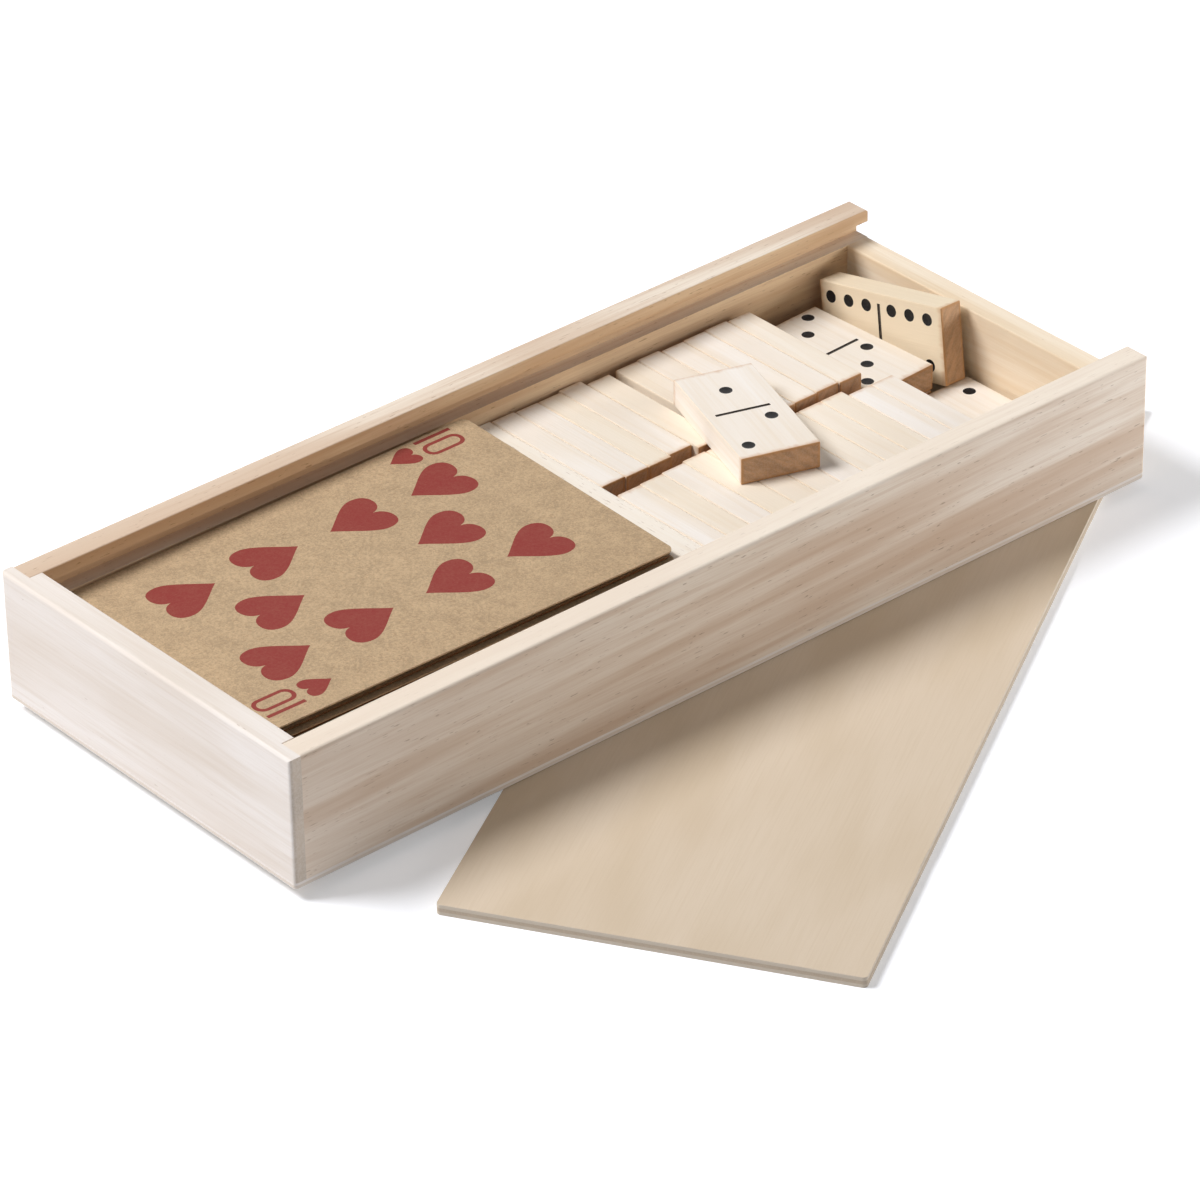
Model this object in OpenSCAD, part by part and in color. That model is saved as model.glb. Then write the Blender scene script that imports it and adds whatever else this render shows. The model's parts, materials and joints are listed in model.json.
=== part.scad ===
// Games compendium box: a long pine box with a divider and a sliding plywood lid,
// a deck of 54 playing cards, and a double-six set of 28 wooden dominoes.
// It stands open on a table, resting on its own lid, which lies askew beneath it.
// Origin: centre of the box's underside. X runs to the lid's open end, Y to the far
// wall, Z up. The sizes of the box are worked out from what it has to hold.

/* [Box] */
// Thickness of the pine walls and of the divider
wall_t = 5; // [4.2:0.1:7]
// Thickness of the plywood base panel
base_t = 1.4; // [1:0.1:3]
// Height of the rim left above the lid groove
rim_h = 2.45; // [1.8:0.05:4]
// Depth of the lid groove in each side wall
groove_d = 3; // [2:0.1:3.6]
// Thickness of the closed end's outer lip, which covers the ends of the side walls
end_lip_t = 2.3; // [1.2:0.1:3.6]
// Radius that eases the outer edges of the walls
edge_r = 0.7; // [0.2:0.1:1.2]
// Radius that eases the inner edges of the rim, the divider and the low end wall
inner_edge_r = 0.3; // [0.1:0.1:0.8]
// How far the divider stops short of the far wall
divider_gap = 0.5; // [0:0.1:2]
// How far the divider's top lies below the tops of the standing dominoes
divider_drop = 0.1; // [0:0.1:4]

/* [Lid] */
// Thickness of the plywood lid
lid_t = 2; // [1.5:0.1:3.5]
// Play in the groove above the lid
lid_play_z = 1.25; // [0.2:0.05:2]
// Play between each long edge of the lid and the bottom of its groove
lid_play_y = 0.75; // [0.2:0.05:1]
// Play between the shut lid and the closed end wall
lid_play_x = 0.5; // [0.2:0.1:2]
// Radius of the lid's corners
lid_corner_r = 0.8; // [0.2:0.1:3]
// Angle of the lid on the table to the length of the box
lid_yaw = 31.5; // [24:0.5:38]
// Distance along the length from the closed end to the lid's left corner
lid_corner_x = 14.5; // [4:0.5:24]
// Distance from the near wall's outer face out to the lid's left corner
lid_corner_y = 17.8; // [10:0.1:26]

/* [Cards] */
// Length of a playing card
card_l = 88; // [80:0.5:96]
// Width of a playing card
card_w = 56.5; // [50:0.5:64]
// Thickness of one kraft card
card_t = 0.3; // [0.25:0.01:0.32]
// Air between two cards of the stacked deck
card_air = 0.03; // [0.01:0.01:0.05]
// Corner radius of a card
card_r = 1.5; // [1:0.1:6]
// Room along the card pocket
card_play_x = 3.9; // [2.5:0.1:12]
// Room across the card pocket, for a finger
card_play_y = 11; // [6:0.5:20]
// Room above the deck, up to the lid
card_headroom = 0.3; // [0.1:0.1:6]
// Turn of the deck in its pocket, clockwise from above
deck_turn = 0.7; // [0:0.1:1.2]
// Gap between the deck and the far wall
deck_far_gap = 0.15; // [0.05:0.05:2]
// How far single cards slip out of the deck towards the near wall
card_slip = 0.3; // [0:0.05:0.8]
// How far the one card that stands out of the deck has slipped
stray_slip = 0.8; // [0:0.1:2]

/* [Dominoes] */
// Length of a domino
tile_l = 30; // [26:0.5:36]
// Width of a domino
tile_w = 15; // [13:0.5:18]
// Thickness of a domino
tile_t = 5.2; // [4:0.1:6.5]
// Radius that eases a domino's edges
tile_r = 0.35; // [0.1:0.05:0.8]
// Diameter of a pip
pip_d = 2.2; // [1.2:0.1:3]
// Depth of a pip's dish
pip_depth = 0.25; // [0.1:0.05:0.6]
// Spacing of the pips, both ways
pip_pitch = 4.4; // [3.2:0.1:4.8]
// Spacing of the pips of a two, both ways
two_pitch = 3.9; // [3.2:0.1:4.8]
// Length of the bar across the middle of a domino
bar_l = 10; // [6:0.5:12]
// Width of the bar
bar_w = 0.5; // [0.3:0.05:1]
// Depth of the bar's groove
bar_depth = 0.2; // [0.1:0.05:0.6]

/* [Dominoes in the box] */
// Room across the pocket beyond two dominoes end to end
row_play_y = 7.5; // [6:0.5:20]
// Room above the standing dominoes, up to the lid
tile_headroom = 3.1; // [0.5:0.1:8]
// Gap between the near row and the near wall
near_row_gap = 3.2; // [2:0.1:3.6]
// Air between neighbours in the near row
near_air = 0.1; // [0.02:0.01:0.25]
// Air between neighbours in the far row
far_air = 0.17; // [0.02:0.01:0.3]
// Extra gap in the far row, after its fifth domino
far_break = 1; // [0:0.1:3]
// Turn of the flat domino that lies on another
pile_yaw = 2.65; // [0:0.05:5]
// Turn of the flat domino under it
pile_low_yaw = 1; // [0:0.1:2.5]
// Gap between the far row and the pile of two
pile_gap = 0.6; // [0.05:0.05:2]
// Gap between the pile of two and the far wall
pile_far_gap = 2.6; // [1.2:0.1:3.4]
// Least gap between the pile of two and the corner domino
pile_near_gap = 0.2; // [0.05:0.05:0.6]
// Turn of the double six that stands at the open end
stand_yaw = 4.2; // [1:0.1:7]
// Gap between the pile of two and the standing double six
stand_gap = 0.85; // [0.5:0.05:4]
// Gap between the standing double six and the low end wall
stand_wall_gap = 0.85; // [0.3:0.05:3]
// Gap between the standing double six and the far wall
stand_far_gap = 1.1; // [0.3:0.1:1.6]
// Length of the standing double six that lies past the edge of the corner domino
stand_lap = 0.3; // [0.1:0.1:1]
// Clearance where the double six leans on that edge
stand_air = 0.05; // [0.02:0.01:0.2]
// Gap between the corner domino and the low end wall
corner_gap = 1.1; // [0.2:0.1:4]
// Least gap between the near row and the corner domino
corner_room = 0.5; // [0.2:0.1:2]
// Turn of the loose domino on top of the rows, clockwise from above
loose_turn = 18.4; // [0:0.1:40]
// Distance from the divider to the middle of the loose domino
loose_x = 30; // [16:0.5:44]
// Distance of the loose domino's middle from the gap between the rows
loose_y = 1.4; // [-2:0.1:4]

/* [Hidden] */
$fn = 48;
// Overshoot of a cutting shape past the face it cuts
over = 1;

// A traditional pack: four suits and two jokers
suit_n = 13;
joker_n = 2;
deck_n = 4 * suit_n + joker_n;
// Place of the stray card in the deck, counted from the bottom
stray_card = deck_n - 4;
// Step of the angle that spreads the cards' slips
slip_step = 137;
card_pitch = card_t + card_air;
deck_h = deck_n * card_pitch - card_air;

// A double-six set, and the parts that its dominoes play in the open box
DOMINOES = [for (a = [0:6]) for (b = [a:6]) [a, b]];
LOOSE = "domino_1_2";
PILE_TOP = "domino_3_3";
PILE_LOW = "domino_0_4";
CORNER = "domino_2_5";
STANDING = "domino_6_6";
OUT_OF_ROW = [LOOSE, PILE_TOP, PILE_LOW, CORNER, STANDING];
IN_ROW = [for (d = DOMINOES) if (place_of(domino_name(d), OUT_OF_ROW) < 0) d];
// Gap from each domino of the far row to the far wall
FAR_GAPS = [0.3, 0.3, 0.5, 1.9, 1.7, 1.9, 1.6, 2.1, 1.9, 1.7, 2];
// How far each domino of the near row is pushed towards the far row
NEAR_SHIFTS = [-0.2, 0, 0.3, 0.8, 0.6, 0.4, 0.1, -0.1, -0.4, -0.6, -1.7, -1.7];
far_n = len(FAR_GAPS);
near_n = len(NEAR_SHIFTS);
break_n = 5;
// Half the size, along X and Y, of a flat domino that is turned by an angle
function half_x(turn) = tile_w / 2 * cos(turn) + tile_l / 2 * sin(turn);
function half_y(turn) = tile_l / 2 * cos(turn) + tile_w / 2 * sin(turn);
// The double six stands with its far end on the base and its near end on a flat domino
stand_pitch = asin((tile_t + stand_air) / (tile_l - stand_lap));
stand_reach = tile_l * cos(stand_pitch) * sin(stand_yaw) + tile_t * cos(stand_yaw);

// Pockets
inner_w = max(2 * tile_l + row_play_y, card_w + card_play_y);
card_pocket_l = card_l + card_play_x;
far_row_l = far_n * (tile_t + far_air) + far_break;
near_row_l = near_n * (tile_t + near_air);
far_side_l = far_row_l + pile_gap + 2 * half_x(pile_yaw) + stand_gap + stand_reach + stand_wall_gap;
near_side_l = near_row_l + corner_room + tile_w + corner_gap;
domino_pocket_l = max(far_side_l, near_side_l);
pocket_h = max(tile_w + tile_headroom, deck_h + card_headroom);

// Box
groove_h = lid_t + lid_play_z;
box_l = 3 * wall_t + card_pocket_l + domino_pocket_l;
box_w = inner_w + 2 * wall_t;
wall_h = pocket_h + groove_h + rim_h;
lid_l = box_l - wall_t - lid_play_x;
lid_w = inner_w + 2 * (groove_d - lid_play_y);

// Places, from the origin
left_x = -box_l / 2;
right_x = box_l / 2;
near_y = -box_w / 2;
near_in = near_y + wall_t;
far_in = -near_in;
divider_x = left_x + wall_t + card_pocket_l;
row_x = divider_x + wall_t;
end_in = right_x - wall_t;
deck_x = left_x + wall_t + card_pocket_l / 2;
deck_y = far_in - deck_far_gap - card_w / 2 * cos(deck_turn) - card_l / 2 * sin(deck_turn);
stand_x = end_in - stand_wall_gap - stand_reach;
stand_y = far_in - stand_far_gap - tile_w * sin(stand_pitch) - tile_t * sin(stand_yaw);
corner_x = end_in - corner_gap - tile_w / 2;
corner_far_y = stand_y - (tile_l - stand_lap) * cos(stand_pitch) * cos(stand_yaw);
pile_x = row_x + far_row_l + pile_gap + half_x(pile_yaw);
pile_far_y = far_in - pile_far_gap - half_y(pile_yaw);
pile_near_y = corner_far_y + pile_near_gap + half_y(pile_low_yaw);
pile_y = max(pile_far_y, pile_near_y);
rows_gap_y = (near_in + near_row_gap + tile_l + far_in - max(FAR_GAPS) - tile_l) / 2;

function domino_name(d) = str("domino_", d[0], "_", d[1]);
// Place of an item in a list, or -1
function place_of(item, list) =
    let (hits = [for (i = [0:len(list) - 1]) if (list[i] == item) i])
    len(hits) > 0 ? hits[0] : -1;

// ---- shapes ----

// What rounding a corner at the origin takes away from the quarter plane x, y > 0
module corner_waste(r) {
    difference() {
        translate([-over, -over]) square(r + over);
        translate([r, r]) circle(r);
    }
}

// Rectangle with chosen corners rounded: near left, near right, far right, far left
module eased_rect(w, h, r, corners = [1, 1, 1, 1]) {
    difference() {
        square([w, h]);
        if (corners[0]) corner_waste(r);
        if (corners[1]) translate([w, 0]) mirror([1, 0]) corner_waste(r);
        if (corners[2]) translate([w, h]) rotate(180) corner_waste(r);
        if (corners[3]) translate([0, h]) mirror([0, 1]) corner_waste(r);
    }
}

// Extrusions of an outline drawn in XY, YZ and XZ
module along_z(h) { linear_extrude(h) children(); }
module along_x(l) { rotate([90, 0, 90]) linear_extrude(l) children(); }
module along_y(w) { translate([0, w, 0]) rotate([90, 0, 0]) linear_extrude(w) children(); }

// ---- box ----

// Cross-section of a side wall, outer face at y = 0, with the groove for the lid
module side_wall_section() {
    difference() {
        eased_rect(wall_t, wall_h, edge_r, [0, 0, 0, 1]);
        translate([wall_t - groove_d, pocket_h]) square([groove_d + over, groove_h]);
        translate([wall_t, wall_h]) rotate(180) corner_waste(inner_edge_r);
    }
}

// Side wall from the closed end's lip to the open end, where its edges are eased
module side_wall() {
    wall_l = box_l - end_lip_t;
    translate([left_x + end_lip_t, near_y, base_t]) intersection() {
        along_x(wall_l) side_wall_section();
        along_z(wall_h) eased_rect(wall_l, wall_t, edge_r, [0, 1, 0, 0]);
        along_y(wall_t) eased_rect(wall_l, wall_h, edge_r, [0, 0, 1, 0]);
    }
}

module near_wall() {
    color("#dcccb6") side_wall();
}

module far_wall() {
    color("#dcccb6") mirror([0, 1, 0]) side_wall();
}

// End wall with a rabbet at each side: its lip covers the ends of the side walls
module closed_end_wall() {
    color("#e9dfd2") translate([left_x, near_y, base_t]) intersection() {
        along_z(wall_h) union() {
            eased_rect(end_lip_t, box_w, edge_r, [1, 0, 0, 1]);
            translate([0, wall_t]) square([wall_t, inner_w]);
        }
        along_y(box_w) difference() {
            eased_rect(wall_t, wall_h, edge_r, [0, 0, 0, 1]);
            translate([wall_t, wall_h]) rotate(180) corner_waste(inner_edge_r);
        }
    }
}

// End wall that stops at the groove's floor, so that the lid slides over it
module low_end_wall() {
    color("#e2d4c0") translate([end_in, near_in, base_t]) along_y(inner_w)
        eased_rect(wall_t, pocket_h, inner_edge_r, [0, 0, 1, 1]);
}

module divider() {
    divider_h = tile_w - divider_drop;
    color("#eee4d4") translate([divider_x, near_in, base_t]) along_y(inner_w - divider_gap)
        eased_rect(wall_t, divider_h, inner_edge_r, [0, 0, 1, 1]);
}

module base_panel() {
    color("#d8c6a8") translate([left_x, near_y]) along_z(base_t)
        eased_rect(box_l, box_w, edge_r);
}

// Plywood lid, flat on the table with the box standing on it
module sliding_lid() {
    color("#d6c6ac") translate([left_x + lid_corner_x, near_y - lid_corner_y, -lid_t])
        rotate(lid_yaw) translate([0, -lid_w]) along_z(lid_t)
            eased_rect(lid_l, lid_w, lid_corner_r);
}

// ---- cards ----

// How far a card has slipped towards the near wall
function slip_of(i) =
    i == stray_card ? stray_slip : card_slip * (1 + sin(i * slip_step)) / 2;

module card(i) {
    translate([deck_x, deck_y - slip_of(i), base_t + i * card_pitch])
        rotate(-deck_turn) translate([-card_l / 2, -card_w / 2])
            along_z(card_t) eased_rect(card_l, card_w, card_r);
}

module cards(first, count) {
    color("#c2a377") for (i = [first:first + count - 1]) card(i);
}

module cards_spades() { cards(0, suit_n); }
module cards_clubs() { cards(suit_n, suit_n); }
module cards_diamonds() { cards(2 * suit_n, suit_n); }
module cards_jokers() { cards(3 * suit_n, joker_n); }
module cards_hearts() { cards(3 * suit_n + joker_n, suit_n - 1); }
module card_ten_of_hearts() { cards(deck_n - 1, 1); }

// ---- dominoes ----

// Places of a number's pips, in steps from the middle of its half
function pips(n) = concat(
    n % 2 == 1 ? [[0, 0]] : [],
    n >= 2 ? [[1, 1], [-1, -1]] : [],
    n >= 4 ? [[1, -1], [-1, 1]] : [],
    n == 6 ? [[1, 0], [-1, 0]] : []
);

// Dish of one pip, cut by a ball into the face at z = tile_t
module pip_dish() {
    ball_r = (pow(pip_d / 2, 2) + pow(pip_depth, 2)) / (2 * pip_depth);
    translate([0, 0, tile_t - pip_depth + ball_r]) sphere(ball_r);
}

module half_pips(n) {
    pitch = n == 2 ? two_pitch : pip_pitch;
    for (p = pips(n)) translate([p[0] * pitch, p[1] * pitch]) pip_dish();
}

// Block with all its edges eased, centred in X and Y, standing on z = 0
module tile_block() {
    translate([-tile_w / 2, -tile_l / 2]) intersection() {
        along_z(tile_t) eased_rect(tile_w, tile_l, tile_r);
        along_x(tile_w) eased_rect(tile_l, tile_t, tile_r);
        along_y(tile_l) eased_rect(tile_w, tile_t, tile_r);
    }
}

// Domino lying face up with its length along Y; the first number is at the far end
module tile(d) {
    difference() {
        tile_block();
        translate([0, tile_l / 4]) half_pips(d[0]);
        translate([0, -tile_l / 4]) half_pips(d[1]);
        translate([-bar_l / 2, -bar_w / 2, tile_t - bar_depth])
            cube([bar_l, bar_w, bar_depth + over]);
    }
}

// Domino on its long edge, face towards -X; the origin is the face's far lower corner
module standing_tile(d) {
    translate([tile_t, -tile_l / 2, tile_w / 2]) rotate([0, -90, 0]) tile(d);
}

module flat_tile(d, x, y, z, yaw) {
    translate([x, y, z]) rotate(yaw) tile(d);
}

module far_row_tile(d, i) {
    x = row_x + far_air + i * (tile_t + far_air) + (i < break_n ? 0 : far_break);
    translate([x - far_air / 2, far_in - FAR_GAPS[i], base_t]) standing_tile(d);
}

module near_row_tile(d, i) {
    x = row_x + near_air / 2 + i * (tile_t + near_air);
    translate([x, near_in + near_row_gap + tile_l + NEAR_SHIFTS[i], base_t]) standing_tile(d);
}

module domino(d) {
    name = domino_name(d);
    i = place_of(d, IN_ROW);
    color("#f3e7d3")
        if (name == LOOSE)
            flat_tile(d, row_x + loose_x, rows_gap_y - loose_y, base_t + tile_w, -loose_turn);
        else if (name == PILE_TOP)
            flat_tile(d, pile_x, pile_y, base_t + tile_t, pile_yaw);
        else if (name == PILE_LOW)
            flat_tile(d, pile_x, pile_y, base_t, pile_low_yaw);
        else if (name == CORNER)
            flat_tile(d, corner_x, corner_far_y - tile_l / 2, base_t, 0);
        else if (name == STANDING)
            translate([stand_x, stand_y, base_t]) rotate([-stand_pitch, 0, stand_yaw])
                standing_tile(d);
        else if (i < far_n)
            far_row_tile(d, i);
        else
            near_row_tile(d, i - far_n);
}

// ---- assembly ----

near_wall();
far_wall();
closed_end_wall();
low_end_wall();
divider();
base_panel();
sliding_lid();
card_ten_of_hearts();
cards_hearts();
cards_jokers();
cards_diamonds();
cards_clubs();
cards_spades();
for (d = DOMINOES) domino(d);
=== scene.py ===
"""Looks for the games compendium box: a long pine box that stands open on its plywood
lid, with a deck of kraft playing cards and a double-six set of wooden dominoes.

Lengths are in metres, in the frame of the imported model: X runs to the lid's open end,
Y to the far wall and Z up, from the centre of the box's underside.
"""

import json
import math
import random

import bmesh
import bpy
from bpy.props import FloatProperty, FloatVectorProperty, IntProperty, PointerProperty
from bpy.types import Operator, Panel, PropertyGroup
from mathutils import Matrix, Vector
from mathutils.geometry import delaunay_2d_cdt
from mathutils.noise import noise as smooth_noise


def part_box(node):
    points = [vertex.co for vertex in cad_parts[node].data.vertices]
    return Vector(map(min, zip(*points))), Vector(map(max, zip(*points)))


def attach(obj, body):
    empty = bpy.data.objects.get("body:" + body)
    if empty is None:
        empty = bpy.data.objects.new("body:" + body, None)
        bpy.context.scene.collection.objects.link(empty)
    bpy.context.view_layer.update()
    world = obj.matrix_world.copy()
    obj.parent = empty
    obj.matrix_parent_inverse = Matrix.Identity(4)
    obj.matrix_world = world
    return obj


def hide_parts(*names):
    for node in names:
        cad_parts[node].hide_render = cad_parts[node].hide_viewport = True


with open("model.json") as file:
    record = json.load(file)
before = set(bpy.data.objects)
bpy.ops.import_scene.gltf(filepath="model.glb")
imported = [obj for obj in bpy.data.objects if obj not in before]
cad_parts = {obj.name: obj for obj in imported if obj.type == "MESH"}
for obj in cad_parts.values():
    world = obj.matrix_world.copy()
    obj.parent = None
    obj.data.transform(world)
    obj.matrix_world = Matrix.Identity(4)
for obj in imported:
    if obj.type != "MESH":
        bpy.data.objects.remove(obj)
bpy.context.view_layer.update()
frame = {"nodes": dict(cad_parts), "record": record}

bl_info = {
    "name": "Games Compendium Box",
    "version": (1, 0, 0),
    "blender": (4, 5, 0),
    "location": "3D View > Sidebar > Compendium",
    "description": "Dresses the pine box, its lid, the deck of cards and the dominoes",
    "category": "Object",
}

MM = 0.001
# The deck's stacks from the bottom up, with the number of cards in each
CARD_STACKS = (("cards_spades", 13), ("cards_clubs", 13), ("cards_diamonds", 13),
               ("cards_jokers", 2), ("cards_hearts", 12))
# The four uppermost cards of the stacks, from the lowest: how far each has slipped, as a
# share of the usual slip; the air below it, against that of other cards; and its share
# of the printed card's twist
TOP_SLIPS = (2.2, 0, 1.3, -0.9)
TOP_AIR = (1.8, 0.3, 2.4, 2.4)
TOP_TWISTS = (0.15, 0.1, 0.25, 0.15)
# Which cards, counted from the top of the stacks, show a pale edge in the plain kraft; the
# edges of all the others are painted dark brown as painted shade
PALE_CARDS = (2, 4)
# Share of the spare height that the air between the cards takes up, and the clearance
# under the printed card in millimetres
AIR_USED, TOP_CLEARANCE = 0.97, 0.04
# Print of one half of the ten, in millimetres: its step off the card's middle; its hearts,
# each with its place and its shares of the large heart's height and width; and the
# strokes of its figures, each with its place, length, width and corner radius, and
# whether it is inked or bare
PRINT_STEP = (-0.3, 1.28)
HEARTS = ((26.95, 13.0, 1, 1), (26.95, -13.0, 1, 1), (9.3, 13.0, 1, 1), (9.3, -13.0, 1, 1),
          (18, 0, 1, 1), (27.7, 23.4, 0.5, 0.485))
FIGURE_STROKES = ((36.0, 25.85, 7.9, 0.85, 0.1275, True),
                  (36.0, 22.45, 8.3, 3.9, 1.862, True),
                  (36.0, 22.45, 6.7, 2.3, 1.127, False))
# Sanded lower edge of the base: share of the height, and inset in millimetres
BASE_EDGE = ((0, 0.45), (0.06, 0.2), (0.2, 0.04), (0.3, 0), (1, 0))
# Worn edge of the lid: share of the thickness, and share of the wear
LID_EDGE = ((0, 0.5), (0.07, 0.15), (0.33, 0), (0.36, 0.25), (0.64, 0.2), (0.67, 0),
            (0.93, 0.2), (1, 1))
# Scales of the lid's wear and of its chips, per metre; the wear in millimetres; and the
# noise from which its edge is chipped, with how fast the chips deepen above that
WEAR_SCALE, CHIP_SCALE, LID_WEAR, CHIP_FROM, CHIP_GAIN = 260, 130, 0.04, 0.32, 3
# Rings of a pip's dish, as shares of its radius
DISH_RINGS = (0.86, 0.62, 0.34)
# Turn about Z of each domino that lies flat, in degrees
FLAT_TURNS = {"domino_1_2": -18.4, "domino_3_3": 2.65, "domino_0_4": 1.0, "domino_2_5": 0.0}
STANDING_DOMINO = "domino_6_6"
# How creamy the wood of each clearly seen domino is, from 0 to 1
TILE_TONES = {"domino_1_2": 0.1, "domino_3_3": 0.3, "domino_6_6": 1.0, "domino_2_5": 0.25,
              "domino_5_5": 0.0, "domino_4_6": 0.5, "domino_0_5": 0.5, "domino_0_6": 0.4,
              "domino_2_4": 0.0, "domino_2_6": 0.6, "domino_2_3": 0.5}
# How far single dominoes of the rows stand off their packed places, in millimetres
ROW_STEPS = {"domino_0_0": (-0.06, -0.45), "domino_0_1": (-0.18, -0.75),
             "domino_0_2": (-0.3, -0.6), "domino_0_3": (-0.42, 1.45),
             "domino_0_5": (-0.45, -0.35), "domino_4_5": (0, 0.35), "domino_4_6": (0, 0.6)}
# How far the print of each clearly seen domino lies off its middle, in millimetres
PRINT_SHIFTS = {"domino_1_2": (-0.5, 0.34), "domino_3_3": (-0.85, 0.95),
                "domino_6_6": (0.28, 0.5), "domino_2_5": (0.05, -0.6)}
# Most that any other print lies off its middle, most that a domino lies off in the grain,
# both in millimetres, and the creamiest tone that is drawn
PRINT_STRAY, GRAIN_REACH, MOST_TONE = (0.3, 0.4), (25, 400, 25), 0.6


def srgb(code):
    """Linear colour of a hexadecimal sRGB code such as "dccbb6"."""
    values = [int(code[i:i + 2], 16) / 255 for i in (0, 2, 4)]
    return tuple(v / 12.92 if v <= 0.04045 else ((v + 0.055) / 1.055) ** 2.4 for v in values)


def times(colour, factor):
    """A colour made lighter or darker by a factor."""
    return tuple(min(1, c * factor) for c in colour)


# ---- settings ----

def colour_setting(name, description, code):
    return FloatVectorProperty(name=name, description=description, default=srgb(code),
                               subtype="COLOR", size=3, min=0, max=1)


def number_setting(name, description, value, unit="NONE", **more):
    return FloatProperty(name=name, description=description, default=value, unit=unit, **more)


def length_setting(name, description, millimetres):
    return number_setting(name, description, millimetres * MM, "LENGTH", min=0, precision=5)


def angle_setting(name, description, degrees):
    return number_setting(name, description, math.radians(degrees), "ROTATION")


def place_setting(name, description, place):
    return FloatVectorProperty(name=name, description=description, default=place,
                               subtype="TRANSLATION", size=3, precision=6)


class CompendiumColours(PropertyGroup):
    """Colours of the woods, the cards and the paint."""
    pine: colour_setting("Pine", "Early wood of the pine walls", "f4e8d9")
    pine_band: colour_setting("Pine band", "Late wood of the pine walls", "d0b49b")
    pine_fleck: colour_setting("Pine fleck", "Short dark pores in the pine", "8e6a4c")
    # Painted light: the near wall's upper faces drawn paler, standing in for the light that
    # falls on them from above
    painted_top_light: colour_setting("Planed", "Freshly planed upper edge of the near wall", "fbf0e2")
    end_wall: colour_setting("End wall", "Early wood of the closed end wall", "efe7e1")
    end_wall_band: colour_setting("End wall band", "Late wood of that wall", "d8c8b8")
    # The low end wall's colours are warmer and yellower than the other walls': partly its own
    # tone, partly painted warm light bounced onto its inner face
    low_wall: colour_setting("Low wall", "Early wood of the low end wall", "f9ebd7")
    low_wall_band: colour_setting("Low wall band", "Late wood of the low end wall", "e3c8a3")
    divider: colour_setting("Divider", "Early wood of the divider", "f7efe4")
    # Painted shade: a darker, warmer tint multiplied into the far wall's inner face, standing
    # in for the shade there and the warm light bounced onto it
    painted_shade_tint: colour_setting("Shade tint", "Tint of the far wall's inner face", "f4e2c8")
    pine_end: colour_setting("Pine end", "Cut ends of the pine", "d6c6b4")
    ply: colour_setting("Plywood", "Face veneer of the lid and the base", "d8c7b2")
    ply_shade: colour_setting("Plywood shade", "Darker figure in the veneer", "c9b59a")
    ply_edge: colour_setting("Plywood edge", "Outer plies seen along the edges", "d9ccbb")
    ply_core: colour_setting("Plywood core", "Middle ply seen along the edges", "b9a288")
    kraft: colour_setting("Kraft", "Brown card stock", "b99f7f")
    # Painted shade: a dark brown on the cut edges of the stacked cards, standing in for the
    # deep shade along the deck's side
    kraft_edge_painted_shade: colour_setting("Kraft edge", "Cut edges of the stacked cards", "70441f")
    # Painted highlight: a pale kraft on the top card's cut edges, standing in for the light
    # line along them
    kraft_painted_highlight: colour_setting("Kraft worn", "Rubbed edge of the top card", "dcc4a2")
    kraft_fibre: colour_setting("Kraft fibre", "Dark fibres in the card stock", "94734f")
    ink: colour_setting("Ink", "Red print on the cards", "872b29")
    tile: colour_setting("Tile", "Palest wood of the dominoes", "f9f3ee")
    tile_warm: colour_setting("Tile warm", "Creamiest wood of the dominoes", "f2e2c8")
    tile_streak: colour_setting("Tile streak", "Tan grain of the dominoes", "e6d2b6")
    end_grain: colour_setting("End grain", "Cut ends of the dominoes", "bd9673")
    # End rim: browner rims round the dominoes' cut ends; near the ends it also darkens the
    # other faces, partly as painted shade where the far wall shades the far ends
    end_rim_and_shade: colour_setting("End rim", "Edges of the dominoes, browned by the saw", "c79461")
    paint: colour_setting("Paint", "Black paint in the pips", "131112")
    bar_paint: colour_setting("Bar paint", "Worn paint in the bars", "3f3833")


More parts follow.
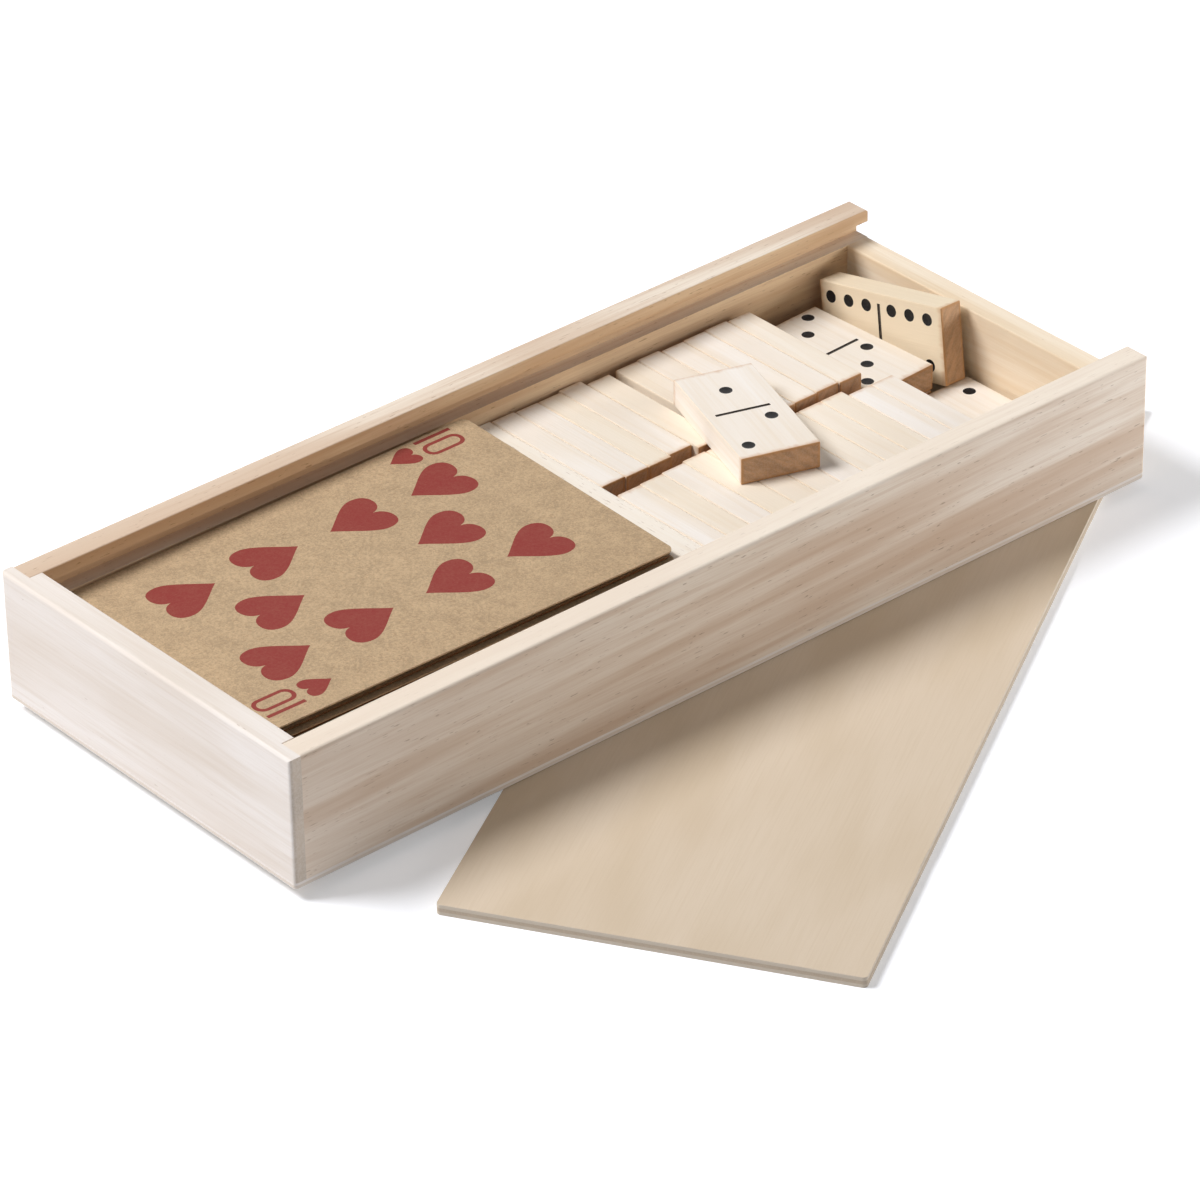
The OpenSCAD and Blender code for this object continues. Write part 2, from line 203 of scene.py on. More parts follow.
class CompendiumSizes(PropertyGroup):
    """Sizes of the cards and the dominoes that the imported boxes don't give."""
    card_length: length_setting("Card length", "Length of a playing card", 88)
    card_width: length_setting("Card width", "Width of a playing card", 56.5)
    card_thickness: length_setting("Card thickness", "Thickness of one kraft card", 0.27)
    card_corner: length_setting("Card corner", "Corner radius of a card", 1.5)
    card_twist: length_setting("Card twist", "How much the top cards are twisted", 1)
    card_slip: length_setting("Card slip", "Most that a card slips out of the deck", 0.45)
    deck_turn: angle_setting("Deck turn", "Turn of the deck in its pocket", -0.7)
    deck_seed: IntProperty(name="Deck seed", description="Seed of the cards' slips",
                           default=7, min=0)
    heart_height: length_setting("Heart height", "Height of a large heart", 11.7)
    heart_width: length_setting("Heart width", "Width of a large heart", 11.3)
    tile_length: length_setting("Tile length", "Length of a domino", 30)
    tile_width: length_setting("Tile width", "Width of a domino", 15)
    tile_thickness: length_setting("Tile thickness", "Thickness of a domino", 5.2)
    tile_seed: IntProperty(name="Tile seed", description="Seed of the dominoes' differences",
                           default=28, min=0)
    tile_edge: length_setting("Tile edge", "Radius that eases a domino's edges", 0.22)
    pip_diameter: length_setting("Pip diameter", "Diameter of a pip", 2.4)
    pip_depth: length_setting("Pip depth", "Depth of a pip's dish", 0.25)
    pip_pitch: length_setting("Pip pitch", "Spacing of the pips", 4.4)
    two_pitch: length_setting("Two pitch", "Spacing of the pips of a two", 3.9)
    bar_length: length_setting("Bar length", "Length of the bar across a domino", 10.4)
    bar_width: length_setting("Bar width", "Width of the bar", 0.7)
    bar_depth: length_setting("Bar depth", "Depth of the bar's groove", 0.2)
    standing_pitch: angle_setting("Standing pitch", "Lean of the double six", -10.18)
    standing_yaw: angle_setting("Standing yaw", "Turn of the double six", 4.74)
    standing_roll: angle_setting("Standing roll", "Sideways lean of the double six", 4.5)
    standing_shift: place_setting("Standing shift", "Step that keeps the leaning double six "
                                  "on the base", (-0.828 * MM, -0.579 * MM, 0.178 * MM))
    lid_turn: angle_setting("Lid turn", "Turn of the lid on the table", 31.5)
    base_corner: length_setting("Base corner", "Corner radius of the base panel", 0.7)
    lid_corner: length_setting("Lid corner", "Corner radius of the lid", 0.8)
    lid_pitch: length_setting("Lid pitch", "Spacing of the points along the lid's edge", 0.7)
    lid_chip: length_setting("Lid chip", "Depth of the chips along the lid's edges", 0.35)


class CompendiumStudio(PropertyGroup):
    """Camera, lights and floor of the studio."""
    camera_place: place_setting("Camera place", "Where the camera stands",
                                (-0.605075, -0.713828, 0.583514))
    camera_turn: FloatVectorProperty(name="Camera turn", subtype="EULER", size=3,
                                     description="How the camera is turned",
                                     default=tuple(math.radians(a) for a in
                                                   (57.915174, 0.777156, -40.861078)))
    lens: number_setting("Lens", "Focal length on a 36 mm sensor", 190.545, "CAMERA")
    sky: number_setting("Sky", "Strength of the even light all round", 0.185, min=0)
    key: number_setting("Key", "Power of the large soft lamp", 15.9, "POWER", min=0)
    key_place: place_setting("Key place", "Where the large soft lamp hangs",
                             (-0.60, 0.50, 0.98))
    key_size: length_setting("Key size", "Diameter of the large soft lamp", 550)
    fill: number_setting("Fill", "Power of the weak lamp at the open end", 0.75, "POWER",
                         min=0)
    fill_place: place_setting("Fill place", "Where the weak lamp hangs",
                              (0.36, -0.21, 0.08))
    fill_size: length_setting("Fill size", "Diameter of the weak lamp", 130)
    floor: colour_setting("Floor", "Colour of the table", "eef0f6")
    floor_glow: number_setting("Floor glow", "How much paler the camera sees the floor",
                               0.29, min=0)
    floor_half: length_setting("Floor half", "Half the side of the floor", 3000)


# ---- node building ----

class Tree:
    """Adds and wires nodes in one node tree."""

    def __init__(self, tree):
        self.nodes, self.links = tree.nodes, tree.links

    def put(self, socket, value):
        """Sets a socket, or links it where the value is another node's output."""
        if isinstance(value, bpy.types.NodeSocket):
            self.links.new(value, socket)
        elif value is not None:
            if hasattr(socket.default_value, "__len__") and len(socket.default_value) == 4:
                value = tuple(value)[:3] + (1,)
            socket.default_value = value

    def add(self, kind, inputs=(), **settings):
        node = self.nodes.new(kind)
        for key, value in settings.items():
            setattr(node, key, value)
        for key, value in dict(inputs).items():
            self.put(node.inputs[key], value)
        return node

    def math(self, operation, *values, clamp=False):
        node = self.add("ShaderNodeMath", operation=operation, use_clamp=clamp)
        for socket, value in zip(node.inputs, values):
            self.put(socket, value)
        return node.outputs[0]

    def vector(self, operation, *values):
        node = self.add("ShaderNodeVectorMath", operation=operation)
        for socket, value in zip(node.inputs, values):
            self.put(socket, value)
        return node.outputs["Value" if operation in ("LENGTH", "DOT_PRODUCT") else "Vector"]

    def scaled(self, vector, factor):
        """A vector times a factor."""
        node = self.add("ShaderNodeVectorMath", operation="SCALE", inputs={"Scale": factor})
        self.put(node.inputs[0], vector)
        return node.outputs["Vector"]

    def parts(self, vector):
        """The X, Y and Z of a vector."""
        return self.add("ShaderNodeSeparateXYZ", inputs={"Vector": vector}).outputs

    def step(self, value, low, high, to_low=0, to_high=1):
        """Smooth step of a value from low to high."""
        node = self.add("ShaderNodeMapRange", interpolation_type="SMOOTHSTEP", inputs={
            "Value": value, "From Min": low, "From Max": high, "To Min": to_low,
            "To Max": to_high})
        return node.outputs["Result"]

    def mix(self, mask, low, high, blend="MIX", share=None):
        """Mix of two colours by a mask, or by a share of it."""
        node = self.add("ShaderNodeMix", data_type="RGBA", blend_type=blend)
        self.put(node.inputs[0], self.math("MULTIPLY", mask, share) if share else mask)
        self.put(node.inputs[6], low)
        self.put(node.inputs[7], high)
        return node.outputs[2]

    def noise(self, vector, scale, detail=2, roughness=0.5):
        """Noise with one scale, or with a scale of its own along each axis."""
        if isinstance(scale, tuple):
            vector, scale = self.vector("MULTIPLY", vector, scale), 1
        node = self.add("ShaderNodeTexNoise", inputs={
            "Vector": vector, "Scale": scale, "Detail": detail, "Roughness": roughness})
        return node.outputs["Fac"]

    def group(self, tree, inputs=()):
        node = self.add("ShaderNodeGroup")
        node.node_tree = tree
        for key, value in dict(inputs).items():
            self.put(node.inputs[key], value)
        return node.outputs


def new_group(name, inputs, outputs):
    """Shader group with the named sockets; returns it with its Tree and its ends."""
    tree = bpy.data.node_groups.new(name, "ShaderNodeTree")
    for label, kind, default in inputs:
        socket = tree.interface.new_socket(label, in_out="INPUT", socket_type=kind)
        if default is not None:
            socket.default_value = default
    for label, kind in outputs:
        tree.interface.new_socket(label, in_out="OUTPUT", socket_type=kind)
    t = Tree(tree)
    return tree, t, t.add("NodeGroupInput").outputs, t.add("NodeGroupOutput").inputs


def timber_grain_group():
    """Grain of sawn wood. Vector is in millimetres with the grain along X, and Slope is
    how far the rings run off in Y and Z along X."""
    tree, t, given, out = new_group("timber_grain", [
        ("Vector", "NodeSocketVector", None),
        ("Pith", "NodeSocketVector", (0, -60, -60)),
        ("Slope", "NodeSocketVector", (0, 0, 0)),
        ("Ring spacing", "NodeSocketFloat", 4),
        ("Waviness", "NodeSocketFloat", 4),
        ("Fleck share", "NodeSocketFloat", 0.3),
    ], [("Rings", "NodeSocketFloat"), ("Fibre", "NodeSocketFloat"),
        ("Flecks", "NodeSocketFloat"), ("Cloud", "NodeSocketFloat"),
        ("Streak", "NodeSocketFloat"), ("Height", "NodeSocketFloat")])
    place = given["Vector"]
    along = t.parts(place)["X"]
    wave = t.math("MULTIPLY", t.math("SUBTRACT", t.noise(place, (0.011, 0.05, 0.05)), 0.5),
                  given["Waviness"])
    from_pith = t.vector("SUBTRACT", t.vector("SUBTRACT", place, given["Pith"]),
                         t.scaled(given["Slope"], along))
    radius = t.vector("LENGTH", t.vector("MULTIPLY", from_pith, (0, 1, 1)))
    turns = t.math("DIVIDE", t.math("ADD", radius, wave), given["Ring spacing"])
    turn = t.math("FRACT", turns)
    late = t.math("MULTIPLY", t.step(turn, 0.25, 0.86), t.step(turn, 0.88, 1.0, 1, 0))
    strength = t.step(t.noise(place, (0.006, 0.12, 0.12), 1), 0.3, 0.7)
    across = t.add("ShaderNodeCombineXYZ", inputs={
        "X": t.math("MULTIPLY", turns, 1.1), "Y": t.math("MULTIPLY", along, 0.008)})
    bands = t.step(t.noise(across.outputs["Vector"], 1, 3, 0.5), 0.42, 0.62)
    rings = t.math("ADD", t.math("MULTIPLY", bands, 0.65),
                   t.math("MULTIPLY", t.math("MULTIPLY", late, strength), 0.45), clamp=True)
    fibre = t.noise(place, (0.09, 3.2, 3.2), 3, 0.6)
    cells = t.noise(place, (0.42, 3.6, 3.6), 1)
    limit = t.math("SUBTRACT", 0.84, t.math("MULTIPLY", given["Fleck share"], 0.2))
    flecks = t.step(t.math("SUBTRACT", cells, limit), 0, 0.06)
    t.put(out["Rings"], rings)
    t.put(out["Fibre"], fibre)
    t.put(out["Flecks"], flecks)
    t.put(out["Cloud"], t.noise(place, (0.02, 0.07, 0.07)))
    t.put(out["Streak"], t.noise(place, (0.035, 0.85, 0.85)))
    t.put(out["Height"], t.math("SUBTRACT", fibre, t.math("MULTIPLY", flecks, 0.8)))
    return tree


def kraft_fibre_group():
    """Mottle and loose fibres of kraft board. Vector is in millimetres."""
    tree, t, given, out = new_group("kraft_fibre", [("Vector", "NodeSocketVector", None)], [
        ("Mottle", "NodeSocketFloat"), ("Dark", "NodeSocketFloat"),
        ("Light", "NodeSocketFloat"), ("Height", "NodeSocketFloat")])
    place = given["Vector"]
    fibres = []
    for turn, shift in ((0.3, 0), (1.4, 31), (2.3, 67), (0.9, 101)):
        spin = t.add("ShaderNodeMapping", inputs={
            "Vector": place, "Rotation": (0, 0, turn), "Location": (shift, shift, 0)})
        fibres.append(t.noise(spin.outputs["Vector"], (1.1, 6.5, 3), 1))
    dark = t.math("MAXIMUM", t.step(fibres[0], 0.62, 0.74), t.step(fibres[1], 0.63, 0.75))
    light = t.math("MAXIMUM", t.step(fibres[2], 0.62, 0.74), t.step(fibres[3], 0.62, 0.74))
    mottle = t.math("MULTIPLY", t.noise(place, 0.25, 2), 0.2)
    for scale, share in ((1.4, 0.35), (3.0, 0.45)):
        finer = t.noise(place, scale, 3, 0.65)
        mottle = t.math("ADD", mottle, t.math("MULTIPLY", finer, share))
    t.put(out["Mottle"], mottle)
    t.put(out["Dark"], dark)
    t.put(out["Light"], light)
    t.put(out["Height"], t.math("ADD", mottle, t.math("MULTIPLY", light, 0.3)))
    return tree


def side_mask_group():
    """How much a face looks along an axis, from a normal in the piece's own frame."""
    tree, t, given, out = new_group("side_mask", [
        ("Normal", "NodeSocketVector", None), ("Axis", "NodeSocketVector", (1, 0, 0)),
    ], [("Mask", "NodeSocketFloat")])
    dot = t.vector("DOT_PRODUCT", given["Normal"], given["Axis"])
    t.put(out["Mask"], t.step(t.math("ABSOLUTE", dot), 0.55, 0.85))
    return tree


def group_of(name, build):
    """The named shader group, built the first time that it is asked for."""
    return bpy.data.node_groups.get(name) or build()


def begin_material(name):
    """New material, with its Tree, its Principled BSDF and its texture coordinates."""
    material = bpy.data.materials.new(name)
    material.use_nodes = True
    t = Tree(material.node_tree)
    shader = material.node_tree.nodes["Principled BSDF"]
    return material, t, shader, t.add("ShaderNodeTexCoord").outputs


def millimetres(t, vector, seed=None):
    """A vector in metres turned into millimetres, moved by a piece's own seed."""
    place = t.scaled(vector, 1 / MM)
    if seed:
        own = t.add("ShaderNodeAttribute", attribute_name=seed).outputs["Vector"]
        place = t.vector("ADD", place, own)
    return place


def finish_surface(t, shader, colour, height, rough, bump, bump_depth, specular=0.3):
    """Feeds the colour, the roughness and the bump of a material."""
    t.put(shader.inputs["Base Color"], colour)
    t.put(shader.inputs["Roughness"], rough)
    shader.inputs["Specular IOR Level"].default_value = specular
    node = t.add("ShaderNodeBump", inputs={
        "Height": height, "Strength": bump, "Distance": bump_depth})
    t.put(shader.inputs["Normal"], node.outputs["Normal"])


def wood_colour(t, coords, axis, colours, pith, spacing, waviness, flecks,
                slope=(0, 0, 0), depths=(0.6, 0.3, 0.35), seed=None):
    """Colour of sawn wood with its grain along an axis, and its grain. The depths say how
    strong the rings, the fibres and the streaks are."""
    light, band, dark = colours
    place = millimetres(t, coords["Object"], seed)
    if axis == "Y":
        parts = t.parts(place)
        place = t.add("ShaderNodeCombineXYZ", inputs={
            "X": parts["Y"], "Y": parts["X"], "Z": parts["Z"]}).outputs["Vector"]
    grain = t.group(group_of("timber_grain", timber_grain_group), {
        "Vector": place, "Pith": pith, "Slope": slope, "Ring spacing": spacing,
        "Waviness": waviness, "Fleck share": flecks})
    masks = (grain["Rings"], t.step(grain["Fibre"], 0.42, 0.72),
             t.step(grain["Streak"], 0.48, 0.7))
    colour = light
    for mask, depth in zip(masks, depths):
        colour = t.mix(mask, colour, band, share=depth)
    colour = t.mix(t.step(grain["Cloud"], 0.45, 0.75, 0, 0.35), colour, band)
    return t.mix(grain["Flecks"], colour, dark, share=0.5), grain, place


def faces_along(t, coords, axis):
    """Mask of the faces that look along an axis."""
    return t.group(group_of("side_mask", side_mask_group), {
        "Normal": coords["Normal"], "Axis": axis})["Mask"]


def wood_material(name, axis, colours, pith, spacing, waviness, flecks, end_colour,
                  tint=None, top_light_painted=None, dark_end=0, **grain_settings):
    """Pine board. The tint is painted shade: it darkens and warms the faces that look along
    Y, up to a depth in millimetres along Y. The pale top colour is painted light on the
    upper faces, and dark_end is how much darker the board grows towards the closed end."""
    material, t, shader, coords = begin_material(name)
    colour, grain, place = wood_colour(t, coords, axis, colours, pith, spacing, waviness,
                                       flecks, **grain_settings)
    if dark_end:
        colour = t.mix(t.step(t.parts(place)["X"], -100, 10, dark_end, 0), colour, colours[1])
    # Painted shade: the faces that look along Y, inside the limit, are darkened and warmed by
    # the tint
    if tint:
        shade, limit = tint
        inner = t.math("MULTIPLY", faces_along(t, coords, (0, 1, 0)),
                       t.step(t.parts(place)["Y"], limit - 1, limit, 1, 0))
        colour = t.mix(inner, colour, t.mix(1, colour, shade, "MULTIPLY"))
    # Painted light: the upper faces are mixed towards the pale top colour
    if top_light_painted:
        colour = t.mix(faces_along(t, coords, (0, 0, 1)), colour, top_light_painted, share=0.55)
    cut = t.mix(grain["Rings"], end_colour, times(end_colour, 0.72), share=0.5)
    cut = t.mix(t.step(grain["Fibre"], 0.35, 0.7, 0, 0.35), cut, colours[0])
    ends = faces_along(t, coords, (0, 1, 0) if axis == "Y" else (1, 0, 0))
    rough = t.step(grain["Fibre"], 0.2, 0.8, 0.62, 0.8)
    finish_surface(t, shader, t.mix(ends, colour, cut), grain["Height"], rough, 0.25, 0.0002)
    return material


def tile_material(name, colours, half_sizes):
    """Wood of the dominoes: each has its own place in the grain and its own tone. The rims of
    the cut ends are browner; near the ends the faces are browned, partly as painted shade,
    and the long edges carry painted shade. The half sizes are in millimetres."""
    material, t, shader, coords = begin_material(name)
    tone = t.add("ShaderNodeAttribute", attribute_name="tile_tone").outputs["Fac"]
    light = t.mix(tone, colours.tile, colours.tile_warm)
    colour, grain, place = wood_colour(
        t, coords, "Y", (light, colours.tile_streak, colours.pine_fleck), (0, -20, -14),
        4.2, 2.2, 0.2, depths=(0.4, 0.12, 0.2), seed="grain_place")
    spot = t.parts(millimetres(t, coords["Object"]))
    across, inward, through = (t.math("SUBTRACT", half, t.math("ABSOLUTE", spot[axis]))
                               for half, axis in zip(half_sizes, "XYZ"))
    nearest = t.math("MINIMUM", across, through)
    # Painted shade: the long edges are drawn in the tan of the grain, standing in for the
    # shade in the seams between the dominoes
    seam_shade_distance = t.math("MAXIMUM", across, through)
    colour = t.mix(t.step(seam_shade_distance, 0.02, 0.3, 0.6, 0), colour, colours.tile_streak)
    # Near the cut ends the faces are browned, partly painted shade where the far wall shades
    # the far ends of the row
    ragged = t.math("ADD", inward, t.math("MULTIPLY", grain["Streak"], 1.6))
    colour = t.mix(t.step(ragged, 0.7, 2.0, 0.5, 0), colour, colours.end_rim_and_shade)
    spin = t.add("ShaderNodeMapping", inputs={"Vector": place, "Rotation": (0.6, 0, 0)})
    figure = t.noise(spin.outputs["Vector"], (0.1, 0.3, 1.2), 3)
    cut = t.mix(t.step(figure, 0.3, 0.7), times(colours.end_grain, 0.85),
                times(colours.end_grain, 1.17))
    cut = t.mix(t.step(grain["Fibre"], 0.35, 0.7, 0, 0.12), cut, light)
    cut = t.mix(t.step(nearest, 0.1, 0.75, 0.75, 0), cut, colours.end_rim_and_shade)
    ends = t.step(t.math("ABSOLUTE", t.parts(coords["Normal"])["Y"]), 0.3, 0.6)
    rough = t.step(grain["Fibre"], 0.2, 0.8, 0.62, 0.8)
    finish_surface(t, shader, t.mix(ends, colour, cut), grain["Height"], rough, 0.2, 0.0002)
    return material


def plywood_material(name, colours, thickness):
    """Plywood: a smooth face veneer, and three plies along the edges. The thickness is in
    millimetres, and the sheet's middle lies at its origin."""
    face, shade, outer, core = colours
    material, t, shader, coords = begin_material(name)
    place = millimetres(t, coords["Object"])
    grain = t.group(group_of("timber_grain", timber_grain_group), {
        "Vector": place, "Pith": (0, 20, -160), "Ring spacing": 21, "Waviness": 14,
        "Fleck share": 0.1})
    colour = t.mix(t.step(grain["Cloud"], 0.35, 0.7, 0, 0.55), face, shade)
    colour = t.mix(t.step(grain["Fibre"], 0.4, 0.75, 0, 0.25), colour, shade)
    colour = t.mix(grain["Flecks"], colour, core, share=0.25)
    level = t.math("DIVIDE", t.math("ADD", t.parts(place)["Z"], thickness / 2), thickness)
    middle = t.math("MULTIPLY", t.step(level, 0.3, 0.36), t.step(level, 0.64, 0.7, 1, 0))
    edge = t.mix(middle, outer, core, share=0.6)
    edge = t.mix(t.step(grain["Fibre"], 0.4, 0.6, 0, 0.3), edge, face)
    colour = t.mix(faces_along(t, coords, (0, 0, 1)), edge, colour)
    finish_surface(t, shader, colour, grain["Height"], 0.75, 0.15, 0.00015)
    return material


def kraft_material(name, card_colour, fibre_colour, ink=None):
    """Kraft board, plain or under red ink."""
    material, t, shader, coords = begin_material(name)
    kraft = t.group(group_of("kraft_fibre", kraft_fibre_group), {
        "Vector": millimetres(t, coords["Object"])})
    colour = t.mix(t.step(kraft["Mottle"], 0.36, 0.64), times(card_colour, 0.78),
                   times(card_colour, 1.18))
    colour = t.mix(kraft["Dark"], colour, fibre_colour, share=0.5)
    colour = t.mix(kraft["Light"], colour, times(card_colour, 1.35), share=0.45)
    if ink:
        cover = t.step(kraft["Mottle"], 0.2, 0.75, 1, 0.9)
        colour = t.mix(cover, colour, ink)
    finish_surface(t, shader, colour, kraft["Height"], 0.7, 0.2, 0.00006)
    return material


def paint_material(name, colour):
    """Black paint in a pip or a bar, a little glossy and not quite even."""
    material, t, shader, coords = begin_material(name)
    place = millimetres(t, coords["Object"])
    patches = t.noise(place, 2.2, 3)
    tone = t.mix(t.step(patches, 0.3, 0.8), colour, tuple(c * 2.2 + 0.004 for c in colour))
    finish_surface(t, shader, tone, patches, 0.5, 0.15, 0.0001, specular=0.25)
    return material


# ---- mesh building ----

def turned(place, turn):
    """Matrix of a place with a turn about Z."""
    return Matrix.Translation(place) @ Matrix.Rotation(turn, 4, "Z")


def new_piece(name, bm, materials, place, body, node):
    """Turns a bmesh into an object that stands in its place, and says what the piece rides
    on, is made of and stands for."""
    mesh = bpy.data.meshes.new(name)
    bmesh.ops.recalc_face_normals(bm, faces=bm.faces)
    bm.to_mesh(mesh)
    bm.free()
    piece = bpy.data.objects.new(name, mesh)
    bpy.context.scene.collection.objects.link(piece)
    for material in materials:
        mesh.materials.append(material)
    piece.matrix_world = place
    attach(piece, body)
    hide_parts(node)
    return piece


def body_of(node):
    """Name of the body that carries a node."""
    groups = frame["record"]["behaviour"]["bodies"]
    return next(body for body, nodes in groups.items() if node in nodes)


def rounded_outline(length, width, radius, segments=6, pitch=None):
    """Points round a rectangle with round corners, centred, counter-clockwise."""
    corners = []
    for sx, sy, start in ((1, 1, 0), (-1, 1, 90), (-1, -1, 180), (1, -1, 270)):
        cx, cy = sx * (length / 2 - radius), sy * (width / 2 - radius)
        for k in range(segments + 1):
            a = math.radians(start + 90 * k / segments)
            corners.append((cx + radius * math.cos(a), cy + radius * math.sin(a)))
    if not pitch:
        return corners
    points = []
    for here, there in zip(corners, corners[1:] + corners[:1]):
        parts = max(1, round(math.dist(here, there) / pitch))
        for k in range(parts):
            points.append(tuple(a + k / parts * (b - a) for a, b in zip(here, there)))
    return points


def join_rings(bm, rings):
    """Closed skin through rings of the same number of corners, listed from below."""
    for lower, upper in zip(rings, rings[1:]):
        for k in range(len(lower)):
            n = (k + 1) % len(lower)
            bm.faces.new((lower[k], lower[n], upper[n], upper[k]))
    bm.faces.new(rings[-1])
    bm.faces.new(list(reversed(rings[0])))


def circle(cx, cy, radius, count=24):
    return [(cx + radius * math.cos(2 * math.pi * k / count),
             cy + radius * math.sin(2 * math.pi * k / count)) for k in range(count)]


def bezier(points, count):
    """Points along a cubic curve, without its last one."""
    (x0, y0), (x1, y1), (x2, y2), (x3, y3) = points
    result = []
    for k in range(count):
        u = k / count
        v = 1 - u
        result.append(tuple(v ** 3 * a + 3 * v * v * u * b + 3 * v * u * u * c + u ** 3 * d
                            for a, b, c, d in ((x0, x1, x2, x3), (y0, y1, y2, y3))))
    return result


def heart(cx, cy, height, width, up=1):
    """Outline of a heart whose tip points along -X, or along +X where up is -1."""
    notch, tip = (0.30, 0), (-0.5, 0)
    crown, side = (0.5, 0.26), (0.24, 0.5)
    half = (bezier([notch, (0.42, 0.02), (0.5, 0.12), crown], 8)
            + bezier([crown, (0.5, 0.42), (0.40, 0.5), side], 8)
            + bezier([side, (0.02, 0.5), (-0.26, 0.17), tip], 12))
    outline = half + [(x, -y) for x, y in reversed(half[1:] + [tip])]
    return [(cx + up * x * height, cy + up * y * width) for x, y in outline]


def inside(point, outline):
    """Whether a point lies inside a closed outline."""
    x, y = point
    result = False
    for (x0, y0), (x1, y1) in zip(outline, outline[1:] + outline[:1]):
        if (y0 > y) != (y1 > y) and x < (x1 - x0) * (y - y0) / (y1 - y0) + x0:
            result = not result
    return result


def triangulate(border, shapes, loose=()):
    """Triangles inside a border, with every shape's outline kept as edges and the loose
    points used as corners. Each triangle comes with the index of the innermost shape that
    holds it, or -1. Also returns, for the border and for each shape, the numbers of its
    points in the result."""
    points, edges, spans = [], [], []
    for outline in (border, *shapes):
        first = len(points)
        points += [Vector(p) / MM for p in outline]
        edges += [(first + k, first + (k + 1) % len(outline)) for k in range(len(outline))]
        spans.append(range(first, len(points)))
    points += [Vector(p) / MM for p in loose]
    places, _, faces, sources, _, _ = delaunay_2d_cdt(points, edges, [], 0, 1e-5)
    places = [place * MM for place in places]
    number = {source: index for index, group in enumerate(sources) for source in group}
    kept = []
    for face in faces:
        middle = sum((places[i] for i in face), Vector((0, 0))) / len(face)
        if inside(middle, border):
            holder = -1
            for index, outline in enumerate(shapes):
                if inside(middle, outline):
                    holder = index
            kept.append((face, holder))
    return places, kept, [[number[source] for source in span] for span in spans]


def add_sheet(bm, faces, rim, lower, upper, side_paint, inked=()):
    """Closed sheet between two rows of places. The faces and the rim are a triangulation's,
    and inked says which of its shapes are printed."""
    lower, upper = ([bm.verts.new(place) for place in row] for row in (lower, upper))
    for face, holder in faces:
        front = bm.faces.new([upper[i] for i in face])
        front.material_index = 1 if holder >= 0 and inked[holder] else 0
        bm.faces.new([lower[i] for i in reversed(face)])
    for here, there in zip(rim, rim[1:] + rim[:1]):
        side = bm.faces.new((lower[here], lower[there], upper[there], upper[here]))
        side.material_index = side_paint


def pip_places(number):
    """Places of a number's pips, in steps from the middle of its half."""
    places = [(0, 0)] if number % 2 else []
    places += [(1, 1), (-1, -1)] if number >= 2 else []
    places += [(1, -1), (-1, 1)] if number >= 4 else []
    places += [(1, 0), (-1, 0)] if number == 6 else []
    return places


def domino_bmesh(first, second, sizes, shift):
    """Eased block, centred, with dished pips and a grooved bar in its upper face. The
    shift moves the print off the middle."""
    w, l, t = sizes.tile_width, sizes.tile_length, sizes.tile_thickness
    bm = bmesh.new()
    bmesh.ops.create_cube(bm, size=1, matrix=Matrix.Diagonal((w, l, t, 1)))
    bmesh.ops.bevel(bm, geom=list(bm.edges), offset=sizes.tile_edge, segments=4,
                    profile=0.5, affect="EDGES")
    top = max(bm.faces, key=lambda f: (round(f.calc_center_median().z, 7), f.calc_area()))
    rim = [v for v in top.verts]
    border = [(v.co.x, v.co.y) for v in rim]
    if top.normal.z < 0:
        border.reverse()
        rim.reverse()
    bmesh.ops.delete(bm, geom=[top], context="FACES_ONLY")
    radius, depth = sizes.pip_diameter / 2, sizes.pip_depth
    sx, sy = shift
    pips = []
    for number, side in ((first, 1), (second, -1)):
        pitch = sizes.two_pitch if number == 2 else sizes.pip_pitch
        pips += [(sx + px * pitch, sy + py * pitch + side * l / 4)
                 for px, py in pip_places(number)]
    bx, by = sizes.bar_length / 2, sizes.bar_width / 2
    bar = [(sx - bx, sy - by), (sx + bx, sy - by), (sx + bx, sy + by), (sx - bx, sy + by)]
    shapes = [bar] + [circle(x, y, radius) for x, y in pips]
    places, faces, numbers = triangulate(border, shapes)
    verts = dict(zip(numbers[0], rim))
    for index, place in enumerate(places):
        if index not in verts:
            verts[index] = bm.verts.new((place.x, place.y, t / 2))
    for face, holder in faces:
        if holder < 0:
            bm.faces.new([verts[i] for i in face])
    outlines = [[verts[i] for i in group] for group in numbers[1:]]

    def sink(outer, inner, paint):
        """Painted faces between two rings of the same number of corners."""
        count = len(outer)
        for k in range(count):
            face = bm.faces.new((outer[k], outer[(k + 1) % count],
                                 inner[(k + 1) % count], inner[k]))
            face.material_index = paint

    ball = (radius ** 2 + depth ** 2) / (2 * depth)
    for (x, y), ring in zip(pips, outlines[1:]):
        for share in DISH_RINGS:
            r = radius * share
            z = t / 2 - depth + ball - math.sqrt(ball ** 2 - r ** 2)
            lower = [bm.verts.new((px, py, z)) for px, py in circle(x, y, r)]
            sink(ring, lower, 1)
            ring = lower
        bm.faces.new(ring).material_index = 1
    lower = [bm.verts.new((px, py, t / 2 - sizes.bar_depth)) for px, py in bar]
    sink(outlines[0], lower, 2)
    bm.faces.new(lower).material_index = 2
    bm.normal_update()
    for face in bm.faces:
        face.smooth = face.material_index == 1 or max(abs(c) for c in face.normal) < 0.999
    for edge in bm.edges:
        edge.smooth = len({face.material_index for face in edge.link_faces}) == 1
    return bm


def set_own(piece, name, value):
    """Gives every point of a piece a number or a vector that is the piece's own."""
    alone = isinstance(value, (int, float))
    own = piece.data.attributes.new(name, "FLOAT" if alone else "FLOAT_VECTOR", "POINT")
    for item in own.data:
        setattr(item, "value" if alone else "vector", value)


# ---- operators ----

